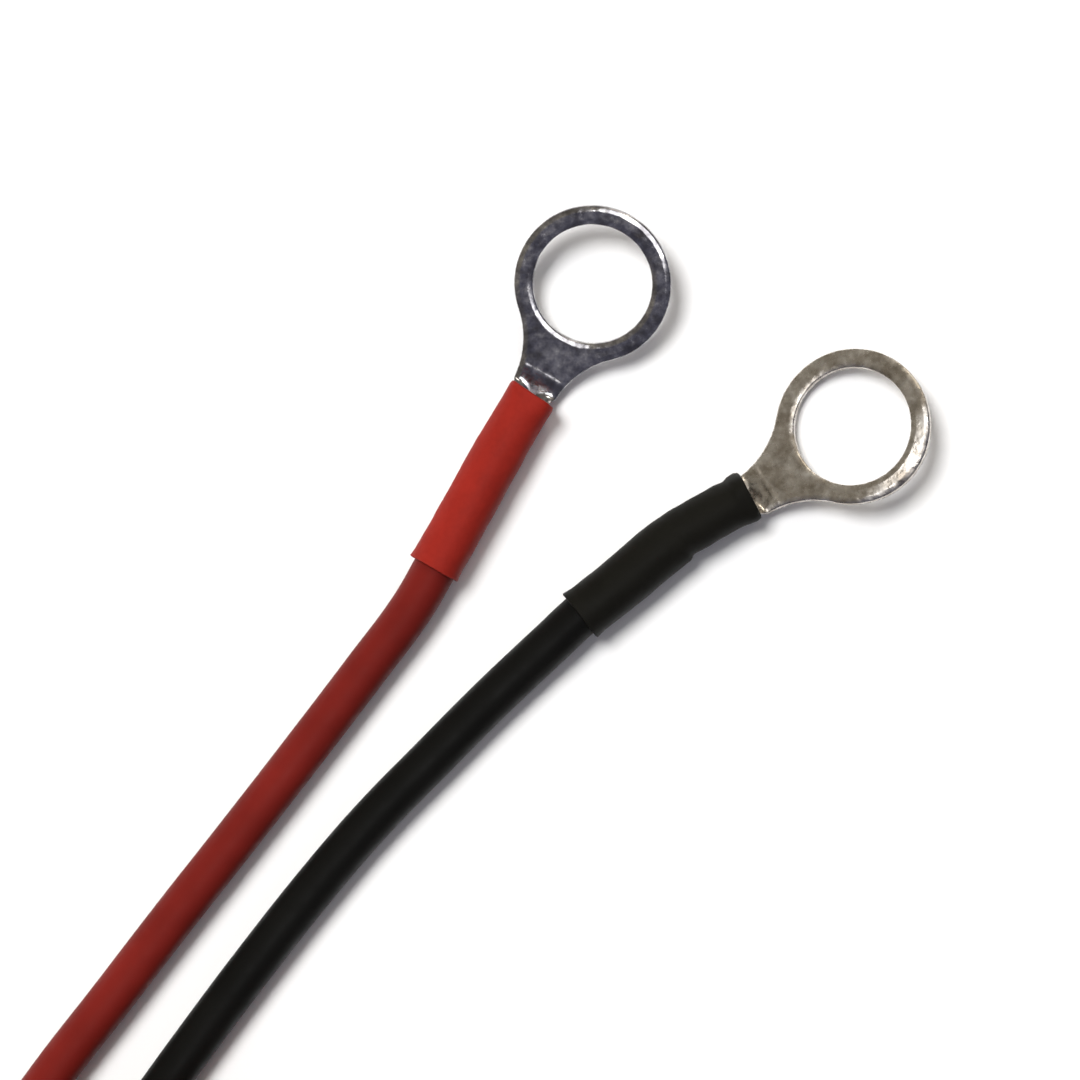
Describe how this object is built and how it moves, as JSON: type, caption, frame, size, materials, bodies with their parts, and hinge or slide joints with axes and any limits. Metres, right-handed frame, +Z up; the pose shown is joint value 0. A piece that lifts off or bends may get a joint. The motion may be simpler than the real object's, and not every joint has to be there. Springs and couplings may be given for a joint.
{
  "type": "solar battery lead pair",
  "caption": "Red and black battery leads: ring terminals under shrink sleeves on one end of the coiled cables, latching solar connectors on the other.",
  "frame": {"origin": "bottom centre of the box round the two ring terminals and their sleeves, on the surface they lie on", "axes": "+Z up; +X along the long side of that box, towards the black lead's ring; the cables run off towards -X and -Y"},
  "size_m": [0.1315, 0.1437, 0.0187],
  "materials": {
    "tinned_copper": "dull tin plate, mottled",
    "bare_copper": "bright drawn strands",
    "spring_bronze": "rolled strip",
    "red_sleeve": "shrunk polyolefin, satin",
    "black_sleeve": "shrunk polyolefin, satin",
    "red_jacket": "extruded jacket, satin",
    "black_jacket": "extruded jacket, satin",
    "tie_nylon": "moulded nylon",
    "housing_plastic": "fine spark texture",
    "gland_plastic": "smooth moulded",
    "seal_rubber": "matt silicone"
  },
  "bodies": {
    "leads": {"red_ring_terminal": "tinned_copper", "red_barrel_strands": "bare_copper", "red_shrink_sleeve": "red_sleeve", "red_cable_run": "red_jacket", "red_cable_coil": "red_jacket", "red_cable_tail": "red_jacket", "black_ring_terminal": "tinned_copper", "black_barrel_strands": "bare_copper", "black_shrink_sleeve": "black_sleeve", "black_cable_run": "black_jacket", "black_cable_coil": "black_jacket", "black_cable_tail": "black_jacket", "coil_tie_1": "tie_nylon", "coil_tie_2": "tie_nylon", "socket_housing": "housing_plastic", "socket_contact": "tinned_copper", "socket_contact_spring": "spring_bronze", "socket_strands": "bare_copper", "socket_sealing_ring": "seal_rubber", "pin_housing": "housing_plastic", "pin_contact": "tinned_copper", "pin_strands": "bare_copper"},
    "socket_gland": {"socket_gland_cage": "gland_plastic", "socket_cable_seal": "seal_rubber"},
    "socket_nut": {"socket_union_nut": "housing_plastic"},
    "pin_gland": {"pin_gland_cage": "gland_plastic", "pin_cable_seal": "seal_rubber"},
    "pin_nut": {"pin_union_nut": "housing_plastic"},
    "latch_left": {"socket_latch_arm_left": "housing_plastic"},
    "latch_right": {"socket_latch_arm_right": "housing_plastic"}
  },
  "joints": [
    {"name": "socket_nut_travel", "type": "slide", "parent": "leads", "child": "socket_gland", "axis": [-1, 0, 0], "range_m": [0, 0.006]},
    {"name": "socket_nut_turn", "type": "hinge", "parent": "socket_gland", "child": "socket_nut", "pos_m": [-0.0115, -0.1148, 0.0093], "axis": [-1, 0, 0], "range_deg": [0, 1080]},
    {"name": "pin_nut_travel", "type": "slide", "parent": "leads", "child": "pin_gland", "axis": [-1, 0, 0], "range_m": [0, 0.006]},
    {"name": "pin_nut_turn", "type": "hinge", "parent": "pin_gland", "child": "pin_nut", "pos_m": [0.0115, -0.0885, 0.0093], "axis": [-1, 0, 0], "range_deg": [0, 1080]},
    {"name": "latch_left_press", "type": "hinge", "parent": "leads", "child": "latch_left", "pos_m": [0.0252, -0.10825, 0.0093], "axis": [0, 0, -1], "range_deg": [0, 4.5], "stiffness_Nm_per_rad": 0.6},
    {"name": "latch_right_press", "type": "hinge", "parent": "leads", "child": "latch_right", "pos_m": [0.0252, -0.12135, 0.0093], "axis": [0, 0, 1], "range_deg": [0, 4.5], "stiffness_Nm_per_rad": 0.6}
  ],
  "couplings": [
    {"joint": "socket_nut_turn", "follows": "socket_nut_travel", "rad_per_m": 3141.6},
    {"joint": "pin_nut_turn", "follows": "pin_nut_travel", "rad_per_m": 3141.6}
  ]
}
